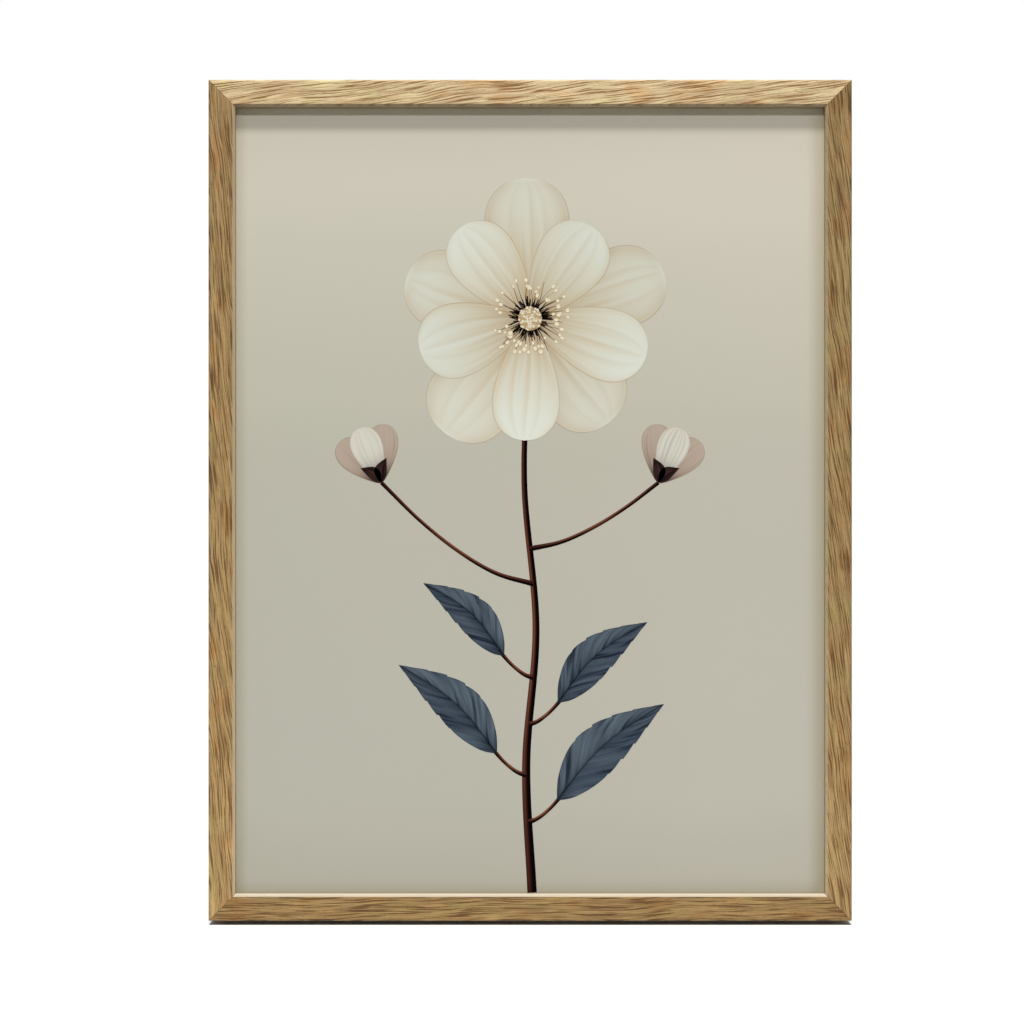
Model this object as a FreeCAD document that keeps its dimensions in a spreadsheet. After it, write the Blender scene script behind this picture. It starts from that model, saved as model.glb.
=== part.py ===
import FreeCAD, Part
import math
import os
import Sketcher

# A picture frame in oak whose picture floats: the print is glued to a stiff panel, and hidden risers hold the
# panel off the mount board, so that it stands clear of the oak on every side.
# +Z is up, +X is to the right for someone who looks at the picture, and the picture faces -Y.
# The origin is under the middle of the frame, on the surface that it stands on. Millimetres.

SIZES = {
    # the frame's oak moulding
    "opening_width": 302.0,
    "opening_height": 403.0,
    "face_width": 13.4,
    "wood_depth": 20.0,
    "rabbet_width": 4.5,
    "lip_depth": 10.0,
    "inner_bevel": 1.0,
    "outer_ease": 1.0,
    "back_ease": 0.6,
    "mitre_gap": 0.1,
    # the floated picture
    "print_setback": 5.0,
    "side_gap": 0.15,
    "bottom_gap": 0.2,
    "top_gap": 4.3,
    "print_thickness": 0.3,
    "panel_thickness": 2.2,
    "riser_width": 12.0,
    "riser_inset": 15.0,
    # the boards behind it
    "mount_thickness": 1.5,
    "filler_thickness": 5.0,
    "backing_thickness": 3.0,
    "board_clearance": 0.2,
    # V-nails across the mitres
    "nail_leg": 3.4,
    "nail_thickness": 0.5,
    "nail_length": 7.0,
    "nail_first": 3.4,
    "nail_second": 6.4,
    # turn buttons and their screws
    "button_length": 24.0,
    "button_width": 8.0,
    "button_thickness": 1.0,
    "button_lift": 0.1,
    "button_edge": 0.3,
    "button_rise": 75.0,
    "pivot_inset": 4.9,
    "pivot_radius": 1.5,
    "pivot_clearance": 0.06,
    "pivot_length": 8.0,
    "pivot_head_radius": 3.0,
    "pivot_head_height": 1.5,
    # strap hangers, their D-rings and their screws
    "hanger_height": 335.0,
    "hanger_inset": 6.4,
    "strap_width": 7.0,
    "strap_thickness": 0.8,
    "strap_length": 20.0,
    "strap_screw_drop": 15.6,
    "loop_clearance": 0.08,
    "wire_radius": 0.8,
    "ring_width": 9.4,
    "ring_height": 11.0,
    "ring_corner": 1.0,
    "strap_screw_radius": 1.3,
    "strap_screw_length": 7.0,
    "strap_head_radius": 2.6,
    "strap_head_height": 1.3,
    # driver slots in every screw head
    "slot_width": 0.7,
    "slot_depth": 0.6,
    # rubber bumpers
    "bumper_radius": 4.0,
    "bumper_height": 4.0,
    "bumper_ease": 1.0,
    "bumper_inset": 5.0,
    "bumper_from_end": 24.0,
}

doc = FreeCAD.newDocument("floating_frame")
sheet = doc.addObject("Spreadsheet::Sheet", "Sizes")
for row, (alias, value) in enumerate(SIZES.items(), start=1):
    sheet.set(f"A{row}", alias)
    sheet.set(f"B{row}", str(value))
    sheet.setAlias(f"B{row}", alias)
doc.recompute()


class Size:
    """A length written as an expression on the sheet, so that sums of sizes stay bound to its cells."""

    def __init__(self, text):
        self.text = str(text)

    def __add__(self, other):
        return Size(f"({self.text} + {text_of(other)})")

    def __sub__(self, other):
        return Size(f"({self.text} - {text_of(other)})")

    def __mul__(self, other):
        return Size(f"({self.text} * {text_of(other)})")

    def __truediv__(self, other):
        return Size(f"({self.text} / {text_of(other)})")

    def __neg__(self):
        return Size(f"(0 - {self.text})")

    def number(self):
        return float(sheet.evalExpression(self.text))


def text_of(value):
    return value.text if isinstance(value, Size) else str(value)


def size(alias):
    return Size(f"<<Sizes>>.{alias}")


def bind(thing, name, value):
    thing.setExpression(name, text_of(value))


# Places that many pieces share.
outer_width = size("opening_width") + size("face_width") * 2
outer_height = size("opening_height") + size("face_width") * 2
front = -(size("wood_depth") + size("bumper_height")) / 2
wood_back = front + size("wood_depth")
print_front = front + size("print_setback")
panel_front = print_front + size("print_thickness")
riser_front = panel_front + size("panel_thickness")
mount_front = front + size("lip_depth")
filler_front = mount_front + size("mount_thickness")
backing_front = filler_front + size("filler_thickness")
picture_width = size("opening_width") - size("side_gap") * 2
picture_height = size("opening_height") - size("bottom_gap") - size("top_gap")
picture_bottom = size("face_width") + size("bottom_gap")


def place(thing, across, deep, up, turn=0.0, about=(0, 1, 0)):
    """Puts a piece at a bound position, turned by a number of degrees about one axis."""
    axis = FreeCAD.Vector(*about)
    thing.Placement = FreeCAD.Placement(FreeCAD.Vector(0, 0, 0), FreeCAD.Rotation(axis, turn))
    bind(thing, ".Placement.Base.x", across)
    bind(thing, ".Placement.Base.y", deep)
    bind(thing, ".Placement.Base.z", up)
    return thing


def new_body(name):
    body = doc.addObject("PartDesign::Body", name)
    body.Label = name
    return body


def new_sketch(body, role, offset=None):
    """A sketch on one of the body's own origin planes, moved along its normal where an offset is given."""
    sketch = body.newObject("Sketcher::SketchObject", f"{body.Name}_{role[:2]}_sketch")
    plane = [part for part in body.Origin.OriginFeatures if part.Role == role][0]
    sketch.AttachmentSupport = (plane, [""])
    sketch.MapMode = "FlatFace"
    if offset is not None:
        bind(sketch, ".AttachmentOffset.Base.z", offset)
    return sketch


def pin_point(sketch, edge, end, across, up):
    """Holds one end of an edge at bound distances from the sketch's origin."""
    for kind, distance, axis in (("DistanceX", across, -2), ("DistanceY", up, -1)):
        value = distance.number()
        if abs(value) < 1e-9:
            sketch.addConstraint(Sketcher.Constraint("PointOnObject", edge, end, axis))
        elif value > 0:
            held = sketch.addConstraint(Sketcher.Constraint(kind, -1, 1, edge, end, value))
            sketch.setExpression(f"Constraints[{held}]", distance.text)
        else:
            held = sketch.addConstraint(Sketcher.Constraint(kind, edge, end, -1, 1, -value))
            sketch.setExpression(f"Constraints[{held}]", (-distance).text)


def draw_outline(sketch, corners):
    """Draws a closed outline of straight edges through corners given as pairs of sizes."""
    first = sketch.GeometryCount
    points = [FreeCAD.Vector(x.number(), y.number(), 0) for x, y in corners]
    for start, stop in zip(points, points[1:] + points[:1]):
        sketch.addGeometry(Part.LineSegment(start, stop))
    for index, (x, y) in enumerate(corners):
        after = first + (index + 1) % len(corners)
        sketch.addConstraint(Sketcher.Constraint("Coincident", first + index, 2, after, 1))
        pin_point(sketch, first + index, 1, x, y)


def draw_edge(sketch, start, stop):
    """Draws one straight edge between two pairs of sizes."""
    ends = [FreeCAD.Vector(across.number(), up.number(), 0) for across, up in (start, stop)]
    edge = sketch.addGeometry(Part.LineSegment(*ends))
    pin_point(sketch, edge, 1, *start)
    pin_point(sketch, edge, 2, *stop)
    return edge


def draw_bend(sketch, centre, radius, first_angle, last_angle, start, stop):
    """Draws an arc from the end of one edge to the end of another; its centre's height settles its radius."""
    middle = FreeCAD.Vector(centre[0].number(), centre[1].number(), 0)
    circle = Part.Circle(middle, FreeCAD.Vector(0, 0, 1), radius.number())
    bend = sketch.addGeometry(Part.ArcOfCircle(circle, math.radians(first_angle), math.radians(last_angle)))
    sketch.addConstraint(Sketcher.Constraint("Coincident", bend, 1, *start))
    sketch.addConstraint(Sketcher.Constraint("Coincident", bend, 2, *stop))
    drop = sketch.addConstraint(Sketcher.Constraint("DistanceY", bend, 3, -1, 1, -centre[1].number()))
    sketch.setExpression(f"Constraints[{drop}]", (-centre[1]).text)


def draw_circle(sketch, across, up, radius):
    centre = FreeCAD.Vector(across.number(), up.number(), 0)
    edge = sketch.addGeometry(Part.Circle(centre, FreeCAD.Vector(0, 0, 1), radius.number()))
    held = sketch.addConstraint(Sketcher.Constraint("Radius", edge, radius.number()))
    sketch.setExpression(f"Constraints[{held}]", radius.text)
    pin_point(sketch, edge, 3, across, up)


def pad(body, sketch, length, both_ways=False, backwards=False):
    feature = body.newObject("PartDesign::Pad", f"{body.Name}_pad")
    feature.Profile = sketch
    feature.SideType = "Symmetric" if both_ways else "One side"
    feature.Reversed = backwards
    bind(feature, "Length", length)
    doc.recompute()
    return feature


def pocket(body, sketch, length, both_ways=False, backwards=False):
    """Cuts a sketch into the body, and stops the build if it removes nothing."""
    before = body.Shape.Volume
    feature = body.newObject("PartDesign::Pocket", f"{body.Name}_pocket")
    feature.Profile = sketch
    feature.SideType = "Symmetric" if both_ways else "One side"
    feature.Reversed = backwards
    bind(feature, "Length", length)
    doc.recompute()
    if body.Shape.Volume > before - 1e-6:
        raise RuntimeError(f"{feature.Name} cuts nothing")
    return feature


def ease(body, amount, wanted, kind="Fillet"):
    """Rounds, or with the kind Chamfer bevels, the edges of the body whose two ends pass a test."""
    base = body.Tip
    names = []
    for index, edge in enumerate(base.Shape.Edges, start=1):
        if all(wanted(vertex.Point) for vertex in edge.Vertexes):
            names.append(f"Edge{index}")
    feature = body.newObject(f"PartDesign::{kind}", f"{body.Name}_{kind.lower()}")
    feature.Base = (base, names)
    bind(feature, {"Fillet": "Radius", "Chamfer": "Size"}[kind], amount)
    doc.recompute()
    return feature


zero = Size("0")


def make_rail(name, length, across, up, turn):
    """One mitred length of moulding.

    The rail lies along its own X, its outer edge at Z = 0 and its face at Y = 0. Behind the lip the inner
    edge is cut back by the rabbet that the boards lie in.
    """
    rail = new_body(name)
    face = size("face_width")
    depth = size("wood_depth")
    shoulder = face - size("rabbet_width")
    lip = size("lip_depth")
    section = new_sketch(rail, "YZ_Plane")
    corners = [(zero, zero), (depth, zero), (depth, shoulder), (lip, shoulder), (lip, face), (zero, face)]
    draw_outline(section, corners)
    pad(rail, section, length, both_ways=True)
    width = face.number()
    back = depth.number()
    ease(rail, size("inner_bevel"), lambda p: abs(p.y) < 1e-6 and abs(p.z - width) < 1e-6, "Chamfer")
    ease(rail, size("outer_ease"), lambda p: abs(p.y) < 1e-6 and abs(p.z) < 1e-6)
    ease(rail, size("back_ease"), lambda p: abs(p.y - back) < 1e-6 and abs(p.z) < 1e-6)
    # Each end is cut off at 45 degrees, half the glue line short of the neighbour.
    mitres = new_sketch(rail, "XZ_Plane")
    glue_line = size("mitre_gap") * 0.7071
    tip = length / 2 - glue_line
    over = face * 2
    for side in (1, -1):
        ends = [
            (tip * side, zero),
            ((tip + over) * side, zero),
            ((tip + over) * side, over),
            ((tip - over) * side, over),
        ]
        draw_outline(mitres, ends)
    pocket(rail, mitres, depth * 4, both_ways=True)
    return place(rail, across, front, up, turn)


def drill(rail, spots, radius, length):
    """Drills screw holes into the back of a rail, at bound distances along it and up from its outer edge."""
    holes = new_sketch(rail, "XZ_Plane", -size("wood_depth"))
    for along, inward in spots:
        draw_circle(holes, along, inward, radius)
    pocket(rail, holes, length, backwards=True)


def make_board(name, width, height, thickness, deep, up):
    """A flat sheet centred across the frame, its front face at one depth and its lower edge at one height."""
    board = doc.addObject("Part::Box", name)
    board.Label = name
    bind(board, "Length", width)
    bind(board, "Width", thickness)
    bind(board, "Height", height)
    return place(board, -width / 2, deep, up)


def make_group(name, master, places):
    """Copies of one fastener as separate solids of one piece; each place is x, y, z and a turn about Y."""
    copies = []
    for index, (across, deep, up, turn) in enumerate(places, start=1):
        copy = doc.addObject("App::Link", f"{name}_{index}")
        copy.LinkedObject = master
        copy.LinkTransform = False
        place(copy, across, deep, up, turn)
        copies.append(copy)
    group = doc.addObject("Part::Compound", name)
    group.Label = name
    group.Links = copies
    return group


def make_screw(name, radius, length, head_radius, head_height):
    """A slotted pan-head screw along its own Y, its head on the +Y side of Y = 0 and its shank on the other."""
    screw = new_body(name)
    outline = new_sketch(screw, "XY_Plane")
    shoulder = head_height * 0.45
    crown = head_radius * 0.62
    tip = radius * 0.35
    corners = [
        (zero, -length),
        (tip, -length),
        (radius, -length + radius * 1.6),
        (radius, zero),
        (head_radius, zero),
        (head_radius, shoulder),
        (crown, head_height),
        (zero, head_height),
    ]
    draw_outline(outline, corners)
    turned = screw.newObject("PartDesign::Revolution", f"{name}_turned")
    turned.Profile = outline
    turned.ReferenceAxis = (outline, ["V_Axis"])
    turned.Angle = 360
    doc.recompute()
    slot = new_sketch(screw, "XY_Plane")
    half = size("slot_width") / 2
    floor = head_height - size("slot_depth")
    above = head_height * 2
    draw_outline(slot, [(-half, floor), (half, floor), (half, above), (-half, above)])
    pocket(screw, slot, head_radius * 4, both_ways=True)
    return screw


def make_turn_button(name, across, up, turn):
    """A flat steel button that turns on its screw: a plate with round ends, holed at the pivot end."""
    button = new_body(name)
    outline = new_sketch(button, "XZ_Plane")
    half = size("button_width") / 2
    reach = size("button_length") - size("button_width")
    draw_outline(outline, [(zero, -half), (reach, -half), (reach, half), (zero, half)])
    pad(button, outline, size("button_thickness"), backwards=True)
    for centre in (zero, reach):
        end = new_sketch(button, "XZ_Plane")
        draw_circle(end, centre, zero, half)
        pad(button, end, size("button_thickness"), backwards=True)
    hole = new_sketch(button, "XZ_Plane")
    draw_circle(hole, zero, zero, size("pivot_radius") + size("pivot_clearance"))
    pocket(button, hole, size("button_thickness") * 4, both_ways=True)
    top = size("button_thickness").number()
    near = half.number() * 0.75
    ease(button, size("button_edge"), lambda p: abs(p.y - top) < 1e-6 and max(abs(p.x), abs(p.z)) > near)
    return place(button, across, wood_back + size("button_lift"), up, turn)


def make_strap(name, across, up):
    """The strap hanger: a plate down the stile whose top end is curled round the D-ring's bar.

    Its own origin is on the bar's axis.
    """
    strap = new_body(name)
    section = new_sketch(strap, "YZ_Plane")
    inner = size("wire_radius") + size("loop_clearance")
    outer = inner + size("strap_thickness")
    drop = -size("strap_length")
    draw_outline(section, [(-outer, drop), (-inner, drop), (-inner, zero), (-outer, zero)])
    pad(strap, section, size("strap_width"), both_ways=True)
    curl = new_sketch(strap, "YZ_Plane")
    draw_circle(curl, zero, zero, outer)
    draw_circle(curl, zero, zero, inner)
    pad(strap, curl, size("strap_width"), both_ways=True)
    # The curl stops short of the plate, which leaves the slit that the ring is put in through.
    slit = new_sketch(strap, "YZ_Plane")
    wide = outer * 2
    low = -outer * 2
    draw_outline(slit, [(-inner * 0.99, zero), (-inner * 0.99, low), (inner * 0.45, low), (zero, zero)])
    pocket(strap, slit, size("strap_width") * 2, both_ways=True)
    hole = new_sketch(strap, "XZ_Plane")
    draw_circle(hole, zero, -size("strap_screw_drop"), size("strap_screw_radius") + size("pivot_clearance"))
    pocket(strap, hole, wide * 4, both_ways=True)
    return place(strap, across, wood_back + outer, up)


def make_ring(name, across, up):
    """The D-ring: round wire bent to a straight bar with a half circle under it.

    Its own origin is on the bar's axis, at the middle of the bar.
    """
    ring = new_body(name)
    path = new_sketch(ring, "XZ_Plane")
    half = size("ring_width") / 2
    corner = size("ring_corner")
    flat = half - corner
    low = half - size("ring_height")
    bar = draw_edge(path, (-flat, zero), (flat, zero))
    right = draw_edge(path, (half, -corner), (half, low))
    left = draw_edge(path, (-half, low), (-half, -corner))
    draw_bend(path, (flat, -corner), corner, 0, 90, (right, 1), (bar, 2))
    draw_bend(path, (-flat, -corner), corner, 90, 180, (bar, 1), (left, 2))
    draw_bend(path, (zero, low), half, 180, 360, (left, 1), (right, 2))
    section = new_sketch(ring, "YZ_Plane")
    draw_circle(section, zero, zero, size("wire_radius"))
    bent = ring.newObject("PartDesign::AdditivePipe", f"{name}_wire")
    bent.Profile = section
    bent.Spine = path
    doc.recompute()
    inner = size("wire_radius") + size("loop_clearance")
    return place(ring, across, wood_back + inner + size("strap_thickness"), up)


def make_bumper():
    """A domed rubber disc whose flat back is glued to the wood at Y = 0."""
    bumper = new_body("bumper_pattern")
    outline = new_sketch(bumper, "XZ_Plane")
    draw_circle(outline, zero, zero, size("bumper_radius"))
    pad(bumper, outline, size("bumper_height"), backwards=True)
    top = size("bumper_height").number()
    ease(bumper, size("bumper_ease"), lambda p: abs(p.y - top) < 1e-6)
    return bumper


def make_nail():
    """A V-nail: a thin bent steel strip that straddles a mitre, driven in along Y from Y = 0.

    The mitre runs along its own Z, and one leg reaches into each rail.
    """
    nail = new_body("nail_pattern")
    outline = new_sketch(nail, "XZ_Plane")
    leg = size("nail_leg")
    thick = size("nail_thickness")
    corners = [
        (zero, zero),
        (leg, -leg * 0.5),
        (leg, -leg * 0.5 + thick),
        (zero, thick),
        (-leg, -leg * 0.5 + thick),
        (-leg, -leg * 0.5),
    ]
    draw_outline(outline, corners)
    pad(nail, outline, size("nail_length"))
    return nail


# The moulding.
mid_height = outer_height / 2
pieces = {}
pieces["bottom_rail"] = make_rail("bottom_rail", outer_width, zero, zero, 0)
pieces["top_rail"] = make_rail("top_rail", outer_width, zero, outer_height, 180)
pieces["left_stile"] = make_rail("left_stile", outer_height, -outer_width / 2, mid_height, 90)
pieces["right_stile"] = make_rail("right_stile", outer_height, outer_width / 2, mid_height, -90)

# The picture and the boards behind it.
pieces["art_print"] = make_board(
    "art_print", picture_width, picture_height, size("print_thickness"), print_front, picture_bottom
)
pieces["art_panel"] = make_board(
    "art_panel", picture_width, picture_height, size("panel_thickness"), panel_front, picture_bottom
)
riser_depth = mount_front - riser_front
inset = size("riser_inset")
wide = size("riser_width")
riser_length = picture_width - inset * 2
riser_rise = picture_height - inset * 2 - wide * 2
pieces["riser_bottom"] = make_board(
    "riser_bottom", riser_length, wide, riser_depth, riser_front, picture_bottom + inset
)
pieces["riser_top"] = make_board(
    "riser_top", riser_length, wide, riser_depth, riser_front, picture_bottom + picture_height - inset - wide
)
for name, side in (("riser_left", -1), ("riser_right", 1)):
    riser = make_board(name, wide, riser_rise, riser_depth, riser_front, picture_bottom + inset + wide)
    bind(riser, ".Placement.Base.x", (riser_length - wide) * side / 2 - wide / 2)
    pieces[name] = riser
board_width = size("opening_width") + size("rabbet_width") * 2 - size("board_clearance") * 2
board_height = size("opening_height") + size("rabbet_width") * 2 - size("board_clearance") * 2
board_bottom = size("face_width") - size("rabbet_width") + size("board_clearance")
for name, thickness, deep in (
    ("mount_board", size("mount_thickness"), mount_front),
    ("filler_board", size("filler_thickness"), filler_front),
    ("backing_board", size("backing_thickness"), backing_front),
):
    pieces[name] = make_board(name, board_width, board_height, thickness, deep, board_bottom)

# Two V-nails across each mitre, flush with the back. A nail's place is counted in from the frame's corner.
nail = make_nail()
nail_places = []
for across_sign, up_sign, turn in ((1, 1, 45), (1, -1, 135), (-1, -1, 225), (-1, 1, 315)):
    for alias in ("nail_first", "nail_second"):
        across = (outer_width / 2 - size(alias)) * across_sign
        up = mid_height + (mid_height - size(alias)) * up_sign
        nail_places.append((across, wood_back, up, turn))
pieces["corner_v_nails"] = make_group("corner_v_nails", nail, nail_places)

# Turn buttons: two on each stile, one on each rail. Each starts turned in over the backing board.
stile_pivot = outer_width / 2 - size("pivot_inset")
button_spots = {
    "turn_button_left_low": (-stile_pivot, mid_height - size("button_rise"), 0),
    "turn_button_left_high": (-stile_pivot, mid_height + size("button_rise"), 0),
    "turn_button_right_low": (stile_pivot, mid_height - size("button_rise"), 180),
    "turn_button_right_high": (stile_pivot, mid_height + size("button_rise"), 180),
    "turn_button_bottom": (zero, size("pivot_inset"), -90),
    "turn_button_top": (zero, outer_height - size("pivot_inset"), 90),
}
pivot_screw = make_screw(
    "pivot_screw_pattern",
    size("pivot_radius"),
    size("pivot_length"),
    size("pivot_head_radius"),
    size("pivot_head_height"),
)
head_seat = wood_back + size("button_lift") * 2 + size("button_thickness")
screw_places = []
for order, (name, (across, up, turn)) in enumerate(button_spots.items()):
    pieces[name] = make_turn_button(name, across, up, turn)
    screw_places.append((across, head_seat, up, 20 + 50 * order))
pieces["turn_button_screws"] = make_group("turn_button_screws", pivot_screw, screw_places)

# Strap hangers with their D-rings, hanging at rest.
strap_screw = make_screw(
    "strap_screw_pattern",
    size("strap_screw_radius"),
    size("strap_screw_length"),
    size("strap_head_radius"),
    size("strap_head_height"),
)
strap_places = []
for side_name, side in (("left", -1), ("right", 1)):
    across = (outer_width / 2 - size("hanger_inset")) * side
    up = size("hanger_height")
    pieces[f"hanger_strap_{side_name}"] = make_strap(f"hanger_strap_{side_name}", across, up)
    pieces[f"hanger_ring_{side_name}"] = make_ring(f"hanger_ring_{side_name}", across, up)
    strap_seat = wood_back + size("strap_thickness")
    strap_places.append((across, strap_seat, up - size("strap_screw_drop"), 30 * side))
pieces["hanger_screws"] = make_group("hanger_screws", strap_screw, strap_places)

# The screw holes in the wood. A stile's own X runs down on the left and up on the right.
pilot = size("pivot_radius")
pilot_length = size("pivot_length")
pivot_in = size("pivot_inset")
rise = size("button_rise")
drill(pieces["bottom_rail"], [(zero, pivot_in)], pilot, pilot_length)
drill(pieces["top_rail"], [(zero, pivot_in)], pilot, pilot_length)
for name, side in (("left_stile", -1), ("right_stile", 1)):
    drill(pieces[name], [(rise, pivot_in), (-rise, pivot_in)], pilot, pilot_length)
    strap_spot = ((size("hanger_height") - size("strap_screw_drop") - mid_height) * side, size("hanger_inset"))
    drill(pieces[name], [strap_spot], size("strap_screw_radius"), size("strap_screw_length"))

# Four bumpers near the corners.
bumper_x = outer_width / 2 - size("bumper_inset")
bumper_z = mid_height - size("bumper_from_end")
bumper_places = [(bumper_x * i, wood_back, mid_height + bumper_z * j, 0) for i in (-1, 1) for j in (-1, 1)]
pieces["wall_bumpers"] = make_group("wall_bumpers", make_bumper(), bumper_places)

doc.recompute()
for thing in doc.Objects:
    if "Invalid" in thing.State or "Error" in thing.State:
        raise RuntimeError(f"{thing.Name} failed: {thing.State}")
os.makedirs("parts", exist_ok=True)
for name, piece in pieces.items():
    shape = piece.Shape
    if shape.isNull() or not shape.isValid():
        raise RuntimeError(f"{name} has no valid shape")
    shape.exportStep(f"parts/{name}.step")
    box = shape.BoundBox
    sides = f"x {box.XMin:.2f} {box.XMax:.2f}, y {box.YMin:.2f} {box.YMax:.2f}, z {box.ZMin:.2f} {box.ZMax:.2f}"
    print(f"{name:24s} {len(shape.Solids)} solids, {shape.Volume:.1f} mm3, {sides}")
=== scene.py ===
# %% [markdown]
# # An oak frame with a floating print
#
# The object is a slim oak picture frame. Its print is glued to a stiff panel that stands clear of the wood,
# so the picture seems to float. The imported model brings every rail, board, button and screw at its true place.
# This lesson gives each of them its finish, and draws the flower on the print in thin films of colour.

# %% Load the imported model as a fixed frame
import math
import bpy
import numpy as np
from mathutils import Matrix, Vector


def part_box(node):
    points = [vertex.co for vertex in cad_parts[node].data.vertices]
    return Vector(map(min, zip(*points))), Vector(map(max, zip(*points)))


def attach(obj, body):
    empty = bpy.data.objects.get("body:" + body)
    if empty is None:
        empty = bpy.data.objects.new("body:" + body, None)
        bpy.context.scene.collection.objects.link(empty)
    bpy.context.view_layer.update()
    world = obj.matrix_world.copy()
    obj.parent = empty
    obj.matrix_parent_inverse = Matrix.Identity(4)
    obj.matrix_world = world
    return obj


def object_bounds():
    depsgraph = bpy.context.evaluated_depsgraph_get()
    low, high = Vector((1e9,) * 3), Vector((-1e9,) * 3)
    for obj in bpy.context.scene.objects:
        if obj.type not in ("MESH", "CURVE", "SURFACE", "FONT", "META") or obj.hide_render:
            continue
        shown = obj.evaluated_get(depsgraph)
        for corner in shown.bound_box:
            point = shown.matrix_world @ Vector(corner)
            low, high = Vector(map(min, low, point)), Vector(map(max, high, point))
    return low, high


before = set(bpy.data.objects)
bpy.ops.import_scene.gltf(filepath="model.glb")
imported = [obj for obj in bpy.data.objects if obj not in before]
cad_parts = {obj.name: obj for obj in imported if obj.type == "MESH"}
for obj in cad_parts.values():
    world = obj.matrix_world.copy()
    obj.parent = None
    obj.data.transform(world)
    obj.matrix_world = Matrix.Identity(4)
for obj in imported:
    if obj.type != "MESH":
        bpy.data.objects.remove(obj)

cad_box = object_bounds()
print("pieces from the model:", len(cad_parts))

# %% [markdown]
# ## Shader maths as Python
#
# A node tree is a sum written with boxes and strings. It reads better as a sum. `Wire` wraps one output socket,
# and its operators add a Math node each, so `1 - mask * 0.5` builds two nodes. `Finish` is one material: every
# other node comes from its `node` method, which sets the node up first and then feeds its sockets.

# %% One wire between two nodes
class Wire:
    """One output socket. Operators on it add Math nodes to its material and give the result's wire."""

    def __init__(self, finish, socket):
        self.finish = finish
        self.socket = socket

    def maths(self, operation, *values):
        return self.finish.node("ShaderNodeMath", {"operation": operation}, dict(enumerate(values)))

    def __add__(self, other):
        return self.maths("ADD", self, other)

    def __sub__(self, other):
        return self.maths("SUBTRACT", self, other)

    def __rsub__(self, other):
        return self.maths("SUBTRACT", other, self)

    def __mul__(self, other):
        return self.maths("MULTIPLY", self, other)

    def __truediv__(self, other):
        return self.maths("DIVIDE", self, other)

    def between(self, low, high):
        """0 below low, 1 above high, and a smooth step between them."""
        settings = {"interpolation_type": "SMOOTHSTEP"}
        return self.finish.node("ShaderNodeMapRange", settings, {0: self, 1: low, 2: high, 3: 0.0, 4: 1.0})

    __radd__ = __add__
    __rmul__ = __mul__


# %% One material
class Finish:
    """A procedural material. Its name is the finish's name, and `surface` is its Principled shader."""

    def __init__(self, name, **constants):
        self.material = bpy.data.materials.new(name)
        self.material.use_nodes = True
        self.tree = self.material.node_tree
        self.surface = next(n for n in self.tree.nodes if n.type == "BSDF_PRINCIPLED")
        for socket, value in constants.items():
            self.surface.inputs[socket.replace("_", " ")].default_value = value

    def node(self, kind, settings=None, inputs=None, output=0):
        """Adds a node: its settings first, then its inputs by name or number, as wires or plain values."""
        made = self.tree.nodes.new(kind)
        for name, value in (settings or {}).items():
            setattr(made, name, value)
        for key, value in (inputs or {}).items():
            if isinstance(value, Wire):
                self.tree.links.new(value.socket, made.inputs[key])
            else:
                made.inputs[key].default_value = value
        return Wire(self, made.outputs[output])

    def feed(self, **sockets):
        """Joins wires to the Principled shader's sockets, such as Base_Color."""
        for name, wire in sockets.items():
            self.tree.links.new(wire.socket, self.surface.inputs[name.replace("_", " ")])

    def place(self):
        """The three Object coordinates, in millimetres."""
        coordinates = self.node("ShaderNodeTexCoord", output="Object")
        split = self.node("ShaderNodeSeparateXYZ", inputs={0: coordinates}).socket.node
        return [Wire(self, split.outputs[axis]) * 1000 for axis in range(3)]

    def noise(self, x, y, z, detail=2.0, roughness=0.5):
        """Smooth noise around 0.5 at a point put together from three numbers or wires."""
        point = self.node("ShaderNodeCombineXYZ", inputs={0: x, 1: y, 2: z})
        inputs = {"Vector": point, "Scale": 1.0, "Detail": detail, "Roughness": roughness}
        return self.node("ShaderNodeTexNoise", inputs=inputs)

    def mix(self, amount, first, second, way="MIX"):
        """Mixes two colours; each is a wire or a tuple of red, green and blue."""
        pair = [c if isinstance(c, Wire) else (*c, 1.0) for c in (first, second)]
        settings = {"data_type": "RGBA", "blend_type": way}
        return self.node("ShaderNodeMix", settings, {0: amount, 6: pair[0], 7: pair[1]}, output=2)

    def ramp(self, amount, stops):
        """A smooth run of colours along a value from 0 to 1; stops are (place, colour)."""
        wire = self.node("ShaderNodeValToRGB", inputs={0: amount})
        ramp = wire.socket.node.color_ramp
        ramp.interpolation = "B_SPLINE"
        while len(ramp.elements) < len(stops):
            ramp.elements.new(1.0)
        for element, (position, colour) in zip(ramp.elements, stops):
            element.position = position
            element.color = (*colour, 1.0)
        return wire

    def bump(self, height, depth, strength=1.0):
        """Turns a height from 0 to 1 into a normal; depth is in millimetres."""
        inputs = {"Height": height, "Distance": depth / 1000, "Strength": strength}
        self.feed(Normal=self.node("ShaderNodeBump", inputs=inputs))


def rgb(red, green, blue):
    """A screen colour, each part from 0 to 255, as the linear light that shaders work in."""
    parts = np.array([red, green, blue]) / 255.0
    return tuple(np.where(parts <= 0.04045, parts / 12.92, ((parts + 0.055) / 1.055) ** 2.4).tolist())


def coat(finish, *nodes):
    """Gives a finish to pieces of the model."""
    for name in nodes:
        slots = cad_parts[name].data.materials
        slots.clear()
        slots.append(finish.material)
    print(finish.material.name, "on", ", ".join(nodes))


# %% [markdown]
# ## Oak
#
# Each rail is cut from its own board, so each has its own colour and its own run of growth lines. The lines are
# noise that is stretched over thirty times along the grain and cut off to thin dark streaks. A slant tilts them,
# because a slim moulding is never cut quite along the tree, and a slow wander bends them. Oak is open-grained:
# its pores are short dark dashes, sunk a little into the wood. The bevel around the opening and the lip's inner
# face have their own tone, partly the paler wood left by sanding and partly painted light and shade: dark on the
# top rail, whose bevel faces down into shade, pale on the bottom rail, whose bevel faces up into the light, and
# paler still on the inner face.

# %% The oak finish
FIRST_LINE = -4.8


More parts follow.
